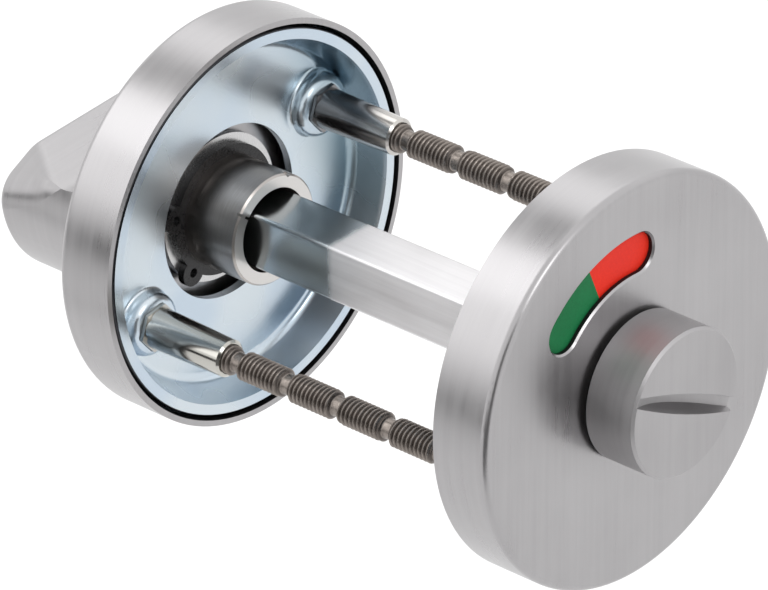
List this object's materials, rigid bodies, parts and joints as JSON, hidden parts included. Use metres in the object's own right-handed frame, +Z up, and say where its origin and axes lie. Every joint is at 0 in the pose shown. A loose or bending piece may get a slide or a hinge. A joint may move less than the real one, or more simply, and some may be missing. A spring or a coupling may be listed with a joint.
{
  "type": "bathroom thumb turn lock",
  "caption": "Bathroom turn and release set: round satin steel roses, thumb turn inside, coin release with red and green indicator outside, square spindle and break-off bolts.",
  "frame": {"origin": "on the lock axis, half way between the rims of the two roses, in the middle of the door", "axes": "Y is the lock axis: the thumb turn points along +Y and the indicator face looks along -Y; +Z is up through the middle of the indicator window; +X is to the right seen from outside"},
  "size_m": [0.056, 0.1056, 0.056],
  "materials": {
    "satin_steel": "fine satin brushed stainless steel",
    "zinc_plate": "bright zinc plate with a bluish passivation",
    "nickel_plate": "smooth nickel plate",
    "spindle_steel": "bright drawn steel",
    "washer_steel": "plain bright steel",
    "black_steel": "phosphated black spring steel",
    "dull_bolt": "dull grey steel, unplated",
    "nylon": "black nylon",
    "red_enamel": "satin red enamel",
    "green_enamel": "satin green enamel"
  },
  "bodies": {
    "inside_half": {"inside_cover": "satin_steel", "inside_rose": "zinc_plate", "sleeve_nut_1": "nickel_plate", "sleeve_nut_2": "nickel_plate"},
    "turn": {"thumb_turn": "satin_steel", "turn_nylon_washer": "nylon", "turn_steel_washer": "washer_steel", "turn_circlip": "black_steel", "spindle": "spindle_steel"},
    "outside_half": {"outside_cover": "satin_steel", "outside_rose": "zinc_plate", "break_bolt_1": "dull_bolt", "break_bolt_2": "dull_bolt"},
    "release": {"release_knob": "satin_steel", "release_nylon_washer": "nylon", "indicator_disc": "washer_steel", "indicator_red": "red_enamel", "indicator_green": "green_enamel", "release_steel_washer": "washer_steel", "release_circlip": "black_steel"}
  },
  "joints": [
    {"name": "thumb_turn_hinge", "type": "hinge", "parent": "inside_half", "child": "turn", "pos_m": [0, 0.0282, 0], "axis": [0, -1, 0], "range_deg": [-45, 45]},
    {"name": "gap_slide", "type": "slide", "parent": "inside_half", "child": "outside_half", "axis": [0, 1, 0], "range_m": [0, 0.009]},
    {"name": "release_hinge", "type": "hinge", "parent": "outside_half", "child": "release", "pos_m": [0, -0.0282, 0], "axis": [0, -1, 0], "range_deg": [-45, 45]}
  ],
  "couplings": [
    {"joint": "release_hinge", "follows": "thumb_turn_hinge", "ratio": 1}
  ]
}
